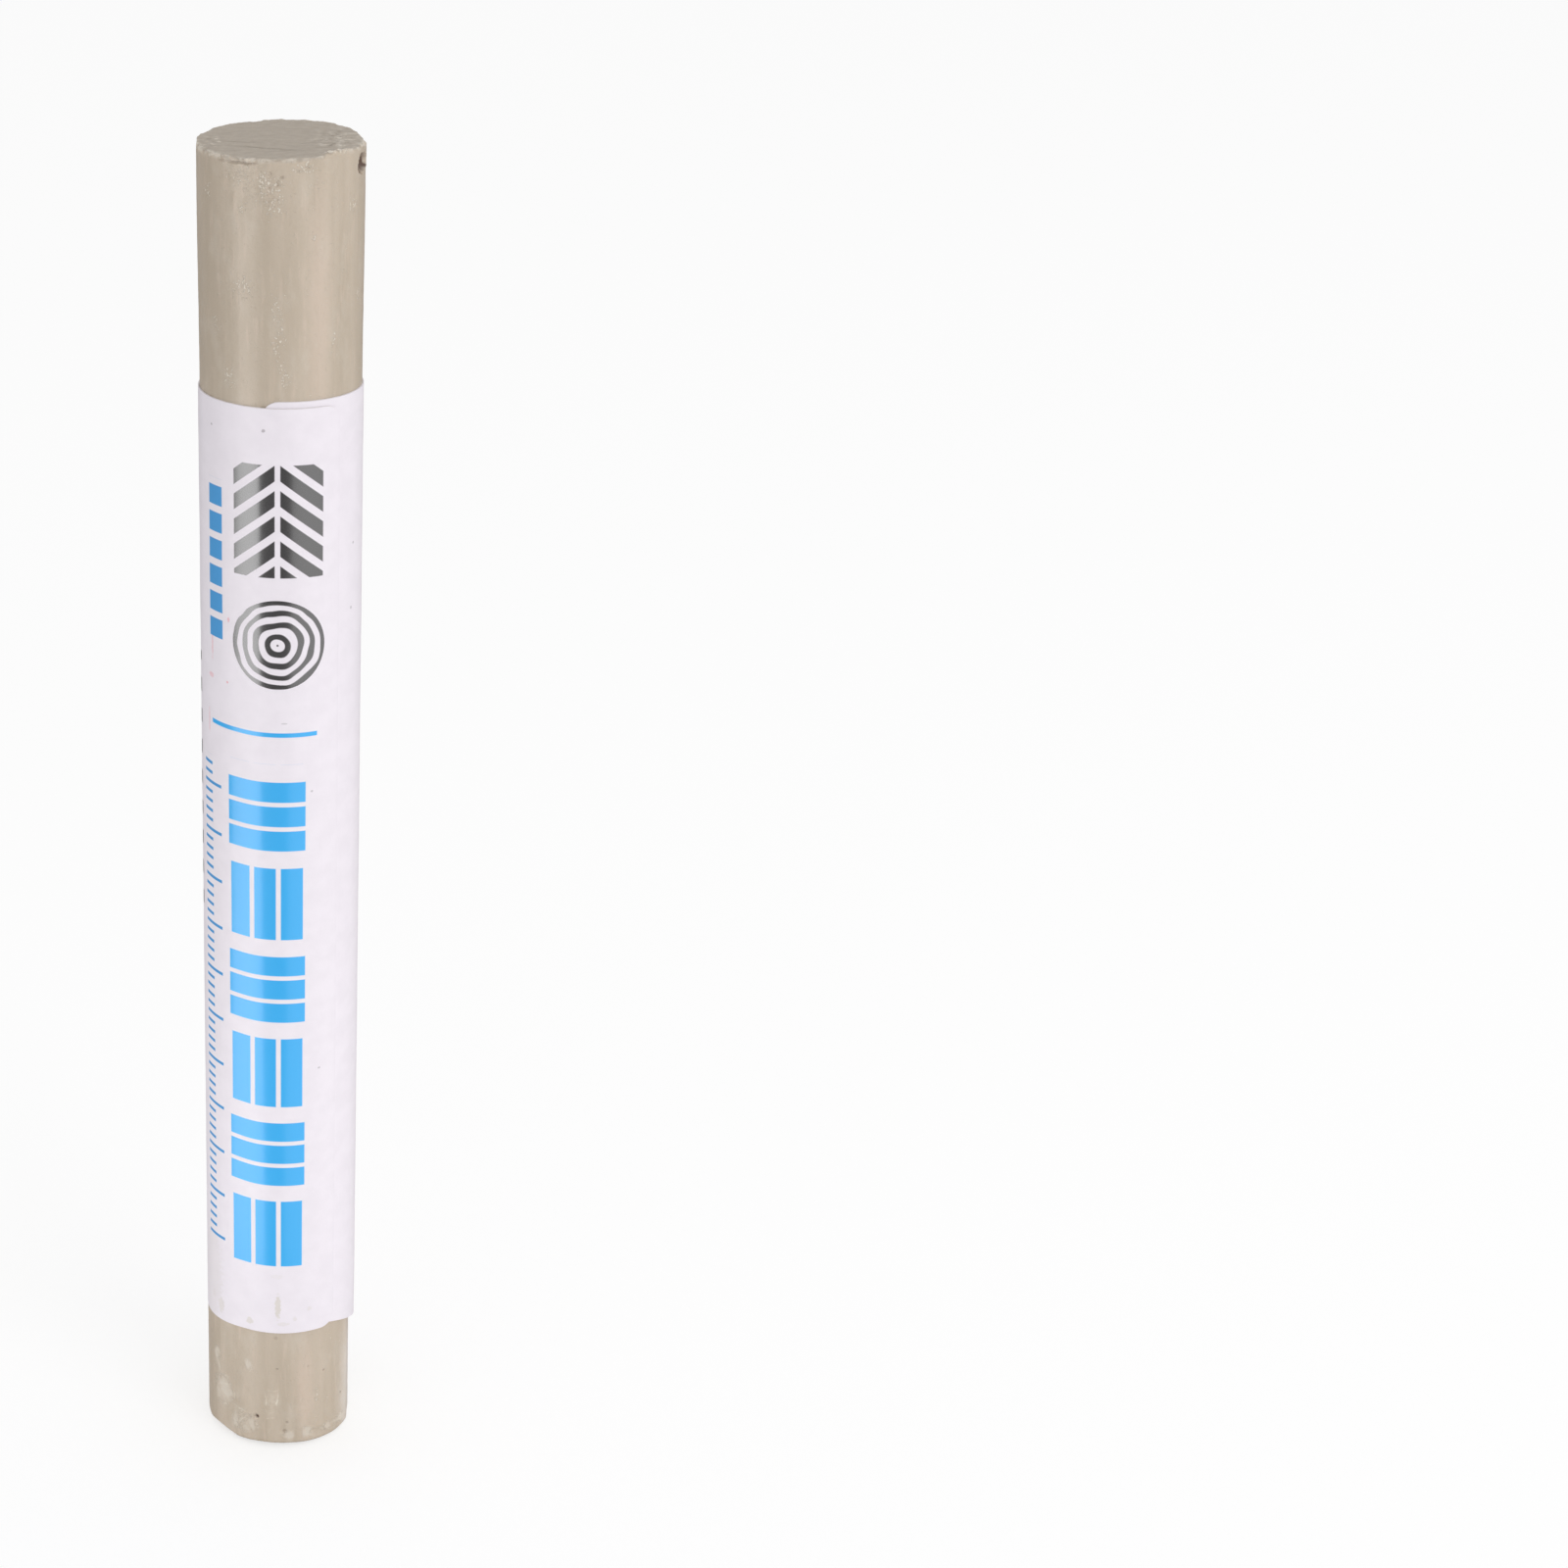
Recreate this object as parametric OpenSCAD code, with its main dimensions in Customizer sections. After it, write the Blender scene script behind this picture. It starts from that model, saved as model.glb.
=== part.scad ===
// Furniture repair wax stick.
// A round stick of hard filler wax: cast with a small round edge at the foot, and sliced off
// by a knife at the top, where the brittle rim has crumbled. A self-adhesive paper label is
// wound on a little askew, so its outer end laps over its start and sits slightly lower.
// Angles run from the front (-Y) round to the right (+X), in degrees. Lengths are in mm.

/* [Wax stick] */
// Length from the foot to the highest point of the cut end
stick_length = 135; // [115:1:180]
// Diameter of the cast barrel
stick_d = 15; // [12:0.5:20]
// Radius of the edge round the foot
foot_round = 0.5; // [0.3:0.1:2]

/* [Cut end] */
// Lean of the knife cut
cut_lean = 2; // [0:0.25:4]
// Side towards which the cut falls
cut_side = -20; // [-180:5:180]
// Number of crumbs broken out of the rim
crumb_count = 30; // [12:1:44]
// How far the largest crumb reaches in from the rim
crumb_bite = 0.4; // [0.2:0.05:0.8]
// Length of the largest chip along the rim
chip_length = 3.4; // [2:0.2:5]
// Depth of the largest chip below the cut
chip_depth = 0.6; // [0.3:0.1:1]
// Width of the burst bubble beside the cut
bubble_d = 1.6; // [0.8:0.1:2]
// Depth of the bubble's middle below the cut
bubble_drop = 1.8; // [1.4:0.1:4]
// Side on which the bubble lies
bubble_side = 78; // [-180:1:180]

/* [Foot] */
// Depth of the facet knocked off the edge of the foot
foot_chip = 0.7; // [0.5:0.1:2]
// Side on which the facet lies
foot_chip_side = -56; // [-180:1:180]

/* [Label] */
// Bare wax below the label, at its outer end
bare_foot = 14.1; // [6:0.1:25]
// Bare wax above the label, at its start
bare_top = 22.3; // [10:0.1:40]
// Length of label that laps over its own start
label_lap = 7.5; // [4:0.5:14]
// Drop of the label in one turn round the stick
label_drop = 0.6; // [0:0.1:1.5]
// How far the lower edge of the label is pulled down on the right, beside its start
edge_pull = 3.2; // [0:0.2:5]
// Radius of the label's cut corners
corner_r = 1.6; // [0.5:0.1:3]
// Side on which the outer end of the label lies
seam_side = 44; // [-180:1:180]
// Thickness of the paper
paper_t = 0.12; // [0.08:0.01:0.2]
// Thickness of the adhesive under the paper
adhesive_t = 0.03; // [0.02:0.01:0.06]
// Length over which the paper climbs onto its own start
climb_length = 3; // [1.5:0.5:6]

/* [Hidden] */
$fn = 96;
stick_r = stick_d / 2;
wax_colour = [0.73, 0.68, 0.61];
paper_colour = [0.93, 0.91, 0.94];
adhesive_colour = [0.9, 0.86, 0.7];

// The large chips of the cut end, each with its side and its size as a share of the largest
chips = [[87, 1], [8, 0.6]];
// Smallest crumb as a share of the largest, and unevenness of their spacing
crumb_least = 0.4;
crumb_stray = 0.45;
crumb_seeds = [7, 19];
// A hollow's centre stands off the rim by this share of its radius, outwards and upwards,
// so it reaches in from the rim by the second share
hollow_stand_off = 0.5;
hollow_reach = sqrt(1 - hollow_stand_off * hollow_stand_off) - hollow_stand_off;

// Pulls of the label's lower edge: the angles, back from the outer end, where each begins, is full,
// begins to fade and ends, and its share of the largest
pulls = [[-384, -292, -284, -194, 1], [-214, -148, -134, -58, 0.28]];

// Steps of the wound sheet: round one turn, and round each cut corner
turn_steps = 120;
corner_steps = 6;
// Length in which the adhesive steps up beside the edge of the paper's start
edge_step = 0.1;

turn_length = PI * stick_d;
label_length = turn_length + label_lap;
label_height = stick_length - bare_foot - bare_top - label_drop * label_length / turn_length;
label_start_z = bare_foot + label_drop * label_length / turn_length;
start_side = seam_side - 360 * label_length / turn_length;

// Radius for the corners of a faceted ring whose flats just clear a round of radius r
function clear_of(r) = r / cos(180 / turn_steps);

// Eased step from 0 to 1
function eased(t) = let (u = min(max(t, 0), 1)) u * u * (3 - 2 * u);

// Height of the paper over the wax: one layer of adhesive, then over its own start as well
function climb(along) = (paper_t + adhesive_t) * eased((along - turn_length + climb_length) / climb_length);
function paper_inside(along) = clear_of(stick_r + adhesive_t) + climb(along);
function paper_outside(along) = paper_inside(along) + paper_t;

// How far the lower edge is pulled down at an angle back from the outer end
function pull_share(back, pull) = pull[4] * min(
    eased((back - pull[0]) / (pull[1] - pull[0])),
    eased((pull[3] - back) / (pull[3] - pull[2])));
function pulled(back) = edge_pull * (pull_share(back, pulls[0]) + pull_share(back, pulls[1]));

// Places along the label with how far each is trimmed by the cut corners, [along, trim]
label_corner = [for (i = [0:corner_steps]) let (a = 90 * i / corner_steps)
    [corner_r * (1 - cos(a)), corner_r * (1 - sin(a))]];
body_length = label_length - 2 * corner_r;
body_steps = ceil(turn_steps * body_length / turn_length);
label_stations = concat(
    label_corner,
    [for (i = [1:body_steps - 1]) [corner_r + body_length * i / body_steps, 0]],
    [for (i = [corner_steps:-1:0]) [label_length - label_corner[i][0], label_corner[i][1]]]
);

// The adhesive lies on the wax for one turn, then steps up onto the paper's own outside
function adhesive_inside(along) = along < turn_length
    ? clear_of(stick_r)
    : clear_of(paper_outside(along - turn_length));
adhesive_stations = [
    for (s = label_stations) if (s[0] < turn_length - 2 * edge_step) s,
    [turn_length - edge_step, 0],
    [turn_length, 0],
    for (s = label_stations) if (s[0] > turn_length + edge_step) s
];

// Four corners of a wound sheet at one station: inside foot, inside top, outside top, outside foot
function sheet_corners(station, inside, outside) =
    let (
        turned = start_side + 360 * station[0] / turn_length,
        dropped = label_start_z - label_drop * station[0] / turn_length,
        low = dropped + station[1] - pulled(turned - seam_side),
        high = dropped + label_height - station[1],
        across = [sin(turned), -cos(turned)]
    )
    [
        [inside * across[0], inside * across[1], low],
        [inside * across[0], inside * across[1], high],
        [outside * across[0], outside * across[1], high],
        [outside * across[0], outside * across[1], low]
    ];

// Closed sheet through rings of four corners each
module wound_sheet(rings) {
    last = len(rings) - 1;
    sides = [for (k = [0:last - 1], j = [0:3]) let (a = 4 * k, b = 4 * k + 4, n = (j + 1) % 4)
        each [[a + j, a + n, b + n], [a + j, b + n, b + j]]];
    z = 4 * last;
    ends = [[0, 3, 2], [0, 2, 1], [z, z + 1, z + 2], [z, z + 2, z + 3]];
    polyhedron([for (ring = rings) each ring], concat(sides, ends), convexity = 4);
}

// Hollow broken out of the rim, by its side and how far it reaches in
module rim_hollow(side, bite) {
    r = bite / hollow_reach;
    off = r * hollow_stand_off;
    rotate([0, 0, side])
        translate([0, -(stick_r + off), off])
            sphere(r);
}

// Long shallow hollow broken out of the rim, by its side and its share of the largest
module rim_chip(side, share) {
    // Ball whose cap is as long and as deep as the chip, sunk into the corner of the rim
    half = share * chip_length / 2;
    depth = share * chip_depth;
    r = (half * half + depth * depth) / (2 * depth);
    rotate([0, 0, side])
        translate([0, -stick_r, 0])
            rotate([45, 0, 0])
                translate([0, 0, r - depth])
                    sphere(r);
}

// Bubble in the wax that burst through the side of the barrel, just below the cut
module burst_bubble() {
    rotate([0, 0, bubble_side])
        translate([0, -stick_r, -bubble_drop])
            sphere(d = bubble_d);
}

// Knife cut across the top, with the crumbs and chips broken out of its rim and the bubble below it
module cut_end() {
    slice = 2 * stick_d;
    crumb_sizes = rands(crumb_least, 1, crumb_count, crumb_seeds[0]);
    crumb_shifts = rands(-crumb_stray, crumb_stray, crumb_count, crumb_seeds[1]);
    translate([0, 0, stick_length])
        rotate([0, 0, cut_side])
            translate([0, stick_r, 0])
                rotate([cut_lean, 0, 0])
                    translate([0, -stick_r, 0])
                        rotate([0, 0, -cut_side]) {
                            translate([-slice / 2, -slice / 2, 0])
                                cube(slice);
                            for (i = [0:crumb_count - 1])
                                rim_hollow(
                                    (i + crumb_shifts[i]) * 360 / crumb_count,
                                    crumb_bite * crumb_sizes[i]
                                );
                            for (chip = chips)
                                rim_chip(chip[0], chip[1]);
                            burst_bubble();
                        }
}

// Facet knocked off the edge of the foot, at 45 degrees
module foot_facet() {
    block = stick_d;
    rotate([0, 0, foot_chip_side])
        translate([0, foot_chip - stick_r, 0])
            rotate([45, 0, 0])
                translate([-block / 2, -block, -block / 2])
                    cube(block);
}

module wax_stick() {
    color(wax_colour)
        difference() {
            rotate_extrude() {
                translate([0, foot_round])
                    square([stick_r, stick_length - foot_round]);
                square([stick_r - foot_round, stick_length]);
                translate([stick_r - foot_round, foot_round])
                    intersection() {
                        circle(foot_round);
                        translate([0, -foot_round])
                            square(foot_round);
                    }
            }
            cut_end();
            foot_facet();
        }
}

module label_adhesive() {
    color(adhesive_colour)
        wound_sheet([for (s = adhesive_stations)
            sheet_corners(s, adhesive_inside(s[0]), paper_inside(s[0]))]);
}

module paper_label() {
    color(paper_colour)
        wound_sheet([for (s = label_stations)
            sheet_corners(s, paper_inside(s[0]), paper_outside(s[0]))]);
}

wax_stick();
label_adhesive();
paper_label();
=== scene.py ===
"""Furniture repair wax stick: the cast wax, the label adhesive and the printed paper label."""
import math

import bpy
from mathutils import Color, Matrix, Vector, noise


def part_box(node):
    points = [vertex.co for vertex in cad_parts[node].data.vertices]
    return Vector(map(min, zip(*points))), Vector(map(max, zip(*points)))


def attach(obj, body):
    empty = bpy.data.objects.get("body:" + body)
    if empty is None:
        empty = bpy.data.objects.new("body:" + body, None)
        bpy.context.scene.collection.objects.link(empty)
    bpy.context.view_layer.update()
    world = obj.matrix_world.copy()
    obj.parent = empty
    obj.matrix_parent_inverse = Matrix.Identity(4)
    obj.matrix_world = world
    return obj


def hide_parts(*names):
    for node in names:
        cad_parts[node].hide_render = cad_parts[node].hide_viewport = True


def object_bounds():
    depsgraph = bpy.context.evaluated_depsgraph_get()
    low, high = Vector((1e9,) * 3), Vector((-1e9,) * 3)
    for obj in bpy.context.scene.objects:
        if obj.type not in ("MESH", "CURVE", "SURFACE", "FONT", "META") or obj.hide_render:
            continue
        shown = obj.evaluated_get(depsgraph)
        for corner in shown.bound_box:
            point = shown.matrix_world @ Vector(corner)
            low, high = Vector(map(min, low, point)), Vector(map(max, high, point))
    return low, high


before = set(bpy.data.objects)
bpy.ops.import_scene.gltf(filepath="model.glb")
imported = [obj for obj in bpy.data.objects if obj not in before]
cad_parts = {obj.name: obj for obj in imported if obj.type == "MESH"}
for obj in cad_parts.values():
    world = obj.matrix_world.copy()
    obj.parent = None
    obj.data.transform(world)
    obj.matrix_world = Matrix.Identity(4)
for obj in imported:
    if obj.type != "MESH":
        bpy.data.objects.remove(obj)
cad_low, cad_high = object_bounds()

# Wax stick
# One solid stick of hard filler wax, cast in a tube mould and sliced off with a knife.
# The brittle rim of the slice has crumbled, and the foot is scuffed, chipped and worn on one side.
mm = 0.001
tiny = 1e-6
upright = Vector((0, 0, 1))
wax_low, wax_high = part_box("wax_stick")
label_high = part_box("paper_label")[1]
wax_radius = (wax_high.x - wax_low.x) / 2
wax_length = wax_high.z
wax_columns = 320
foot_edge, foot_edge_steps = 0.5 * mm, 5
# The bare wax runs on a little way under the label, and its rows are finest just below the rim
bare_foot = 14.1 * mm
tuck_under = 1.2 * mm
rim_zone = 3.8 * mm
bare_foot_end = bare_foot + tuck_under
bare_top_start = label_high.z - tuck_under
rim_zone_start = wax_length - rim_zone
foot_rows, hidden_rows, top_rows, rim_rows = 66, 8, 92, 44
cut_rings, cut_ring_width = 36, 0.2 * mm
foot_rings, foot_ring_width = 9, 0.74 * mm
# Least rise of the long edges that are split into rows, and least upright share of an end face's normal
long_rise = 1 * mm
end_tilt = 0.9
# The knife cut falls from the back of the rim towards the front, a little to the left
cut_lean = math.radians(2)
cut_side = math.radians(-20)


def outward(side):
    """Direction away from the stick's axis, by the angle from the front round to the right."""
    return Vector((math.sin(side), -math.cos(side), 0))


def side_of(place):
    """Angle of a place from the front round to the right."""
    return math.atan2(place.x, -place.y)


def in_radians(*degrees):
    """Angles in degrees as radians."""
    return [math.radians(angle) for angle in degrees]


def off_axis(place):
    """Distance of a place from the stick's axis."""
    return math.hypot(place.x, place.y)


def eased(share):
    """Smooth step from 0 to 1."""
    share = min(max(share, 0), 1)
    return share * share * (3 - 2 * share)


def between(value, begin, full, fading, end):
    """Share that rises from 0 at begin to 1 at full, and falls from 1 at fading to 0 at end."""
    return min(eased((value - begin) / (full - begin)), eased((end - value) / (end - fading)))


def near(off, reach):
    """Share that is 1 up to half of a reach and falls to 0 at its end."""
    return eased(2 - 2 * off / reach)


def cut_height(place):
    """Height of the knife cut over a place."""
    return wax_length - (wax_radius + place.dot(outward(cut_side))) * math.tan(cut_lean)


def pick(piece, kind, test):
    """Select the points, edges or faces that pass a test, and go on in edit mode."""
    bpy.ops.object.mode_set(mode="EDIT")
    bpy.ops.mesh.select_mode(type=kind)
    bpy.ops.mesh.select_all(action="DESELECT")
    bpy.ops.object.mode_set(mode="OBJECT")
    parts = {"VERT": piece.data.vertices, "EDGE": piece.data.edges, "FACE": piece.data.polygons}
    for part in parts[kind]:
        part.select = test(part)
    bpy.ops.object.mode_set(mode="EDIT")


def slice_across(places, direction):
    """Cut the whole mesh across at each place, square to a direction."""
    for place in places:
        bpy.ops.mesh.select_all(action="SELECT")
        bpy.ops.mesh.bisect(plane_co=place, plane_no=direction)


bpy.ops.object.select_all(action="DESELECT")
bpy.ops.mesh.primitive_cylinder_add(
    vertices=wax_columns, radius=wax_radius, depth=wax_length, location=(0, 0, wax_length / 2))
wax = bpy.context.object
wax.name = "cast_wax"
bpy.ops.object.transform_apply(location=True, rotation=True, scale=True)
bpy.ops.object.mode_set(mode="EDIT")
slice_across([(0, 0, bare_foot_end), (0, 0, bare_top_start), (0, 0, rim_zone_start)], (0, 0, 1))
pick(wax, "EDGE", lambda edge: all(wax.data.vertices[i].co.z < tiny for i in edge.vertices))
bpy.ops.mesh.bevel(offset=foot_edge, segments=foot_edge_steps, affect="EDGES")
bpy.ops.object.mode_set(mode="OBJECT")
for point in wax.data.vertices:
    if point.co.z > wax_length - tiny:
        point.co.z = cut_height(point.co)


def upright_edge(low, high):
    """Test for the long upright edges of the barrel between two heights."""
    def test(edge):
        ends = sorted(wax.data.vertices[i].co.z for i in edge.vertices)
        return ends[1] - ends[0] > long_rise and low - tiny < ends[0] and ends[1] < high + tiny
    return test


def end_face(facing):
    """Test for the flat end of the stick that faces up, 1, or down, -1."""
    def test(face):
        return face.normal.z * facing > end_tilt and len(face.vertices) == wax_columns
    return test


for low, high, rows in (
        (0, bare_foot_end, foot_rows),
        (bare_foot_end, bare_top_start, hidden_rows),
        (bare_top_start, rim_zone_start, top_rows),
        (rim_zone_start, wax_length, rim_rows)):
    pick(wax, "EDGE", upright_edge(low, high))
    bpy.ops.mesh.subdivide_edgering(number_cuts=rows, interpolation="LINEAR")
for facing, rings, width in ((1, cut_rings, cut_ring_width), (-1, foot_rings, foot_ring_width)):
    pick(wax, "FACE", end_face(facing))
    for ring in range(rings):
        bpy.ops.mesh.inset(thickness=width, depth=0)
    bpy.ops.mesh.poke()
bpy.ops.object.mode_set(mode="OBJECT")

# Breaks where flakes came off the rim under the knife: side in degrees, reach in from the rim and fall
# down the barrel. The largest lies on the right, towards the back. The edge of the foot has a facet as well
rim_breaks = (
    (104, 0.46 * mm, 0.95 * mm),
    (86, 0.2 * mm, 0.6 * mm),
    (72, 0.12 * mm, 0.3 * mm),
    (26, 0.14 * mm, 0.3 * mm),
    (-14, 0.24 * mm, 0.4 * mm),
    (-66, 0.1 * mm, 0.12 * mm),
    (-118, 0.1 * mm, 0.2 * mm),
    (-158, 0.14 * mm, 0.14 * mm),
    (170, 0.1 * mm, 0.2 * mm),
    (128, 0.18 * mm, 0.3 * mm),
)
break_grain, break_roughness = 0.9 * mm, 0.16 * mm
foot_facet = 0.7 * mm
foot_facet_side = math.radians(-56)


def rim_corner(side, reach):
    """Place on the cut at one side of the stick, in from the rim by a reach."""
    corner = outward(side) * (wax_radius - reach)
    corner.z = cut_height(corner)
    return corner


def flatten(piece, place, normal, roughness=0):
    """Press every point that stands proud of a rough plane back onto it."""
    for point in piece.data.vertices:
        rough = roughness * noise.noise(point.co / break_grain)
        proud = (point.co - place).dot(normal) + rough
        if proud > max(rough, 0):
            point.co -= normal * proud


for degrees, reach, fall in rim_breaks:
    side = math.radians(degrees)
    slope = (outward(side) * fall + upright * reach).normalized()
    flatten(wax, rim_corner(side, reach), slope, break_roughness)
flatten(wax, outward(foot_facet_side) * (wax_radius - foot_facet),
        (outward(foot_facet_side) - upright).normalized())

# Rougher chip at the front of the rim. A rough ball hollows it: the points inside are pushed to its skin
chip_length = 3.2 * mm
chip_depth = 0.32 * mm
chip_ball = (chip_length ** 2 / 4 + chip_depth ** 2) / (2 * chip_depth)
chip_side = math.radians(8)
ball_fineness = 6
ball_grain, ball_roughness, ball_rest = 0.7 * mm, 0.25 * mm, 0.5


def displace(piece, pattern, strength, rest_level, direction="NORMAL", group="", space=None):
    """Move a piece's points by a pattern, and apply it."""
    step = piece.modifiers.new("displace", "DISPLACE")
    step.texture = pattern
    step.strength = strength
    step.mid_level = rest_level
    step.direction = direction
    step.vertex_group = group
    step.texture_coords = "OBJECT" if space else "LOCAL"
    step.texture_coords_object = space
    bpy.context.view_layer.objects.active = piece
    bpy.ops.object.modifier_apply(modifier=step.name)


def cloud_pattern(name, size, depth=2):
    """Soft lumps of a given size."""
    pattern = bpy.data.textures.new(name, "CLOUDS")
    pattern.noise_scale = size
    pattern.noise_depth = depth
    return pattern


def stretched_space(scale):
    """Space in which a pattern is stretched."""
    bpy.ops.object.empty_add(location=(0, 0, 0))
    space = bpy.context.object
    space.scale = scale
    bpy.context.view_layer.update()
    return space


stand_off = (outward(chip_side) + upright).normalized() * (chip_ball - chip_depth)
bpy.ops.mesh.primitive_ico_sphere_add(
    subdivisions=ball_fineness, radius=chip_ball, location=rim_corner(chip_side, 0) + stand_off)
bpy.ops.object.transform_apply(location=True, rotation=True, scale=True)
chip_tool = bpy.context.object
displace(chip_tool, cloud_pattern("broken_wax", ball_grain), ball_roughness, ball_rest)
press = wax.modifiers.new("press", "SHRINKWRAP")
press.target = chip_tool
press.wrap_method = "NEAREST_SURFACEPOINT"
press.wrap_mode = "OUTSIDE"
bpy.context.view_layer.objects.active = wax
bpy.ops.object.modifier_apply(modifier=press.name)
bpy.data.objects.remove(chip_tool)


def weigh(piece, name, weight_at):
    """Give a piece a group of points with weights by place."""
    group = piece.vertex_groups.new(name=name)
    for point in piece.data.vertices:
        group.add([point.index], min(max(weight_at(point.co), 0), 1), "REPLACE")


# Groups: the crumbled rim, roughest in stretches at the front, the scuffed barrel below the front of the
# rim, and the face of the cut. The rim has crumbled further in on the right and further down on the left
rim_reach, right_rim_reach = 0.6 * mm, 1.5 * mm
rim_fall, left_rim_fall = 0.5 * mm, 0.8 * mm
back_rim_share, sound_rim_share, left_rim_share = 0.3, 0.3, 0.55
front_level = 0.5
scuff_middle, scuff_half, scuff_share = math.radians(-12), math.radians(52), 0.5
core_middle, core_half = math.radians(-3), math.radians(20)
scuff_drop = 5.6 * mm
cut_skin = 0.35 * mm
# Length of the stretches, and the level and contrast of the noise that sets them
rim_stretch = 2.0 * mm
rim_patches, scuff_patches = (0.6, 1.5), (0.5, 1.8)


def patchy(place, level, contrast):
    """Share of damage at a place, in stretches."""
    return eased(level + contrast * noise.noise(place / rim_stretch))


def part_way(first, last, share):
    """Value between two others."""
    return first + (last - first) * share


def crumbled(place):
    """How crumbled the wax is at a place."""
    at_front = eased(front_level - place.y / wax_radius)
    at_right = eased(place.x / wax_radius)
    at_left = eased(-place.x / wax_radius)
    inwards = max(wax_radius - off_axis(place), 0) / part_way(rim_reach, right_rim_reach, at_right)
    below = max(cut_height(place) - place.z, 0) / part_way(rim_fall, left_rim_fall, at_left)
    share = part_way(back_rim_share, 1, at_front)
    share *= part_way(sound_rim_share, 1, patchy(place, *rim_patches))
    share *= part_way(1, left_rim_share, at_left)
    return (1 - math.hypot(inwards, below)) * share


def scuffed(place):
    """How scuffed the barrel is at a place below the cut."""
    drop = cut_height(place) - place.z
    if drop < cut_skin or drop > scuff_drop:
        return 0
    share = scuff_share * near(abs(side_of(place) - scuff_middle), scuff_half)
    share = max(share, near(abs(side_of(place) - core_middle), core_half))
    return share * near(drop, scuff_drop) * patchy(place, *scuff_patches)


weigh(wax, "crumbled_rim", crumbled)
weigh(wax, "scuffed_front", scuffed)
weigh(wax, "cut_face", lambda place: 1 - (cut_height(place) - place.z) / cut_skin)
# Size, depth and rest level of the crumbs, grains and scuffs
crumb_size, crumb_depth, crumb_rest = 1.1 * mm, 0.55 * mm, 0.75
grain_size, grain_depth, grain_rest = 0.4 * mm, 0.45 * mm, 0.6
scuff_size, scuff_depth, scuff_rest = 0.36 * mm, 0.18 * mm, 0.6
crumbs = bpy.data.textures.new("crumbs", "VORONOI")
crumbs.noise_scale = crumb_size
displace(wax, crumbs, crumb_depth, crumb_rest, group="crumbled_rim")
displace(wax, cloud_pattern("grains", grain_size), grain_depth, grain_rest, group="crumbled_rim")
displace(wax, cloud_pattern("scuffs", scuff_size), scuff_depth, scuff_rest, group="scuffed_front")

# Lip of wax that the knife pushed up where it came out, at the front right of the rim: the angles where it
# begins, is full, begins to fade and ends, and how it falls off inwards and down the barrel
lip_angles = in_radians(29, 34, 37, 66)
lip_rise, lip_width, lip_fall = 0.46 * mm, 0.9 * mm, 1.3 * mm
lip_crest = 1.2
lip_grain, lip_level, lip_contrast = 0.9 * mm, 0.9, 0.5
for point in wax.data.vertices:
    raised = between(side_of(point.co), *lip_angles)
    raised *= eased(lip_crest - (wax_radius - off_axis(point.co)) / lip_width)
    raised *= eased(lip_crest - (cut_height(point.co) - point.co.z) / lip_fall)
    point.co.z += lip_rise * raised * (lip_level + lip_contrast * noise.noise(point.co / lip_grain))

# Dents and lumps of the barrel, in millimetres: side in degrees, level below the cut or above the foot, half
# width, half height, depth inwards, which is negative for a lump, and how much shade is painted inside it.
# First come a burst bubble, a shallow mark that paints shade on its far wall, a crumb left in it, a swollen
# edge behind it and a long crack with painted shade in it
rim_dents = (
    (78, 1.68, 1.7, 0.95, 0.7, 1.0),
    (86, 1.9, 0.75, 0.8, 0.04, 1.0),
    (90.5, 1.2, 0.42, 0.5, -0.4, 0),
    (94, 1.4, 1.1, 1.3, -0.14, 0),
    (-44, 0.56, 0.6, 0.1, 0.08, 0.12),
    (-39, 0.44, 0.6, 0.11, 0.08, 0.18),
    (-34, 0.52, 0.6, 0.13, 0.1, 0.24),
    (-29, 0.44, 0.7, 0.14, 0.1, 0.3),
    (-24, 0.5, 0.6, 0.13, 0.1, 0.3),
    (-19, 0.44, 0.6, 0.1, 0.07, 0.2),
    (1, 1.6, 0.2, 0.16, 0.14, 0.16),
    (-2, 2.2, 0.14, 0.24, 0.12, 0.12),
    (-7, 2.5, 0.14, 0.24, 0.1, 0.1),
    (-3, 3.1, 0.16, 0.2, -0.07, 0),
    (-9, 3.5, 0.14, 0.2, -0.06, 0),
    (12, 1.1, 0.24, 0.16, 0.1, 0.08),
    (18, 0.8, 0.2, 0.16, 0.1, 0.08),
    (-27, 1.4, 0.9, 0.22, -0.06, 0),
    (-22, 3.9, 0.5, 0.8, 0.09, 0),
    (-32, 3.7, 0.4, 0.7, -0.05, 0),
    (-75, 0.35, 0.4, 0.25, -0.1, 0),
    (63, 4.6, 0.35, 0.5, -0.07, 0),
)
foot_dents = (
    (-19, 3.6, 0.26, 0.26, 0.3, 0),
    (-48, 4.6, 1.5, 1.3, 0.08, 0),
    (-8, 5.2, 0.9, 1.6, 0.06, 0),
    (30, 1.2, 0.9, 0.5, 0.12, 0),
    (3, 2.0, 0.4, 0.35, 0.1, 0),
)
dent_list = [
    (math.radians(side), from_cut, level * mm, half_width * mm, half_height * mm, depth * mm, shade)
    for from_cut, table in ((True, rim_dents), (False, foot_dents))
    for side, level, half_width, half_height, depth, shade in table
]
# How far the painted shade spreads towards a dent's edge
shade_spread = 1.15
# The edges of the dents are ragged, which is worked out only within a margin round each
dent_ragged, dent_grain, dent_margin = 0.34, 0.55 * mm, 2
# The barrel's skin lies outside this share of its radius
skin_share = 0.9


def dent_share(place, side, from_cut, level, half_width, half_height):
    """How deep a place lies in a round dent, from 0 at its edge to 1 at its middle."""
    middle = cut_height(place) - level if from_cut else level
    turned = math.remainder(side_of(place) - side, 2 * math.pi)
    off = math.hypot(turned * wax_radius / half_width, (place.z - middle) / half_height)
    if off < dent_margin:
        off += dent_ragged * noise.noise(place / dent_grain)
    return math.sqrt(max(1 - off * off, 0))


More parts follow.
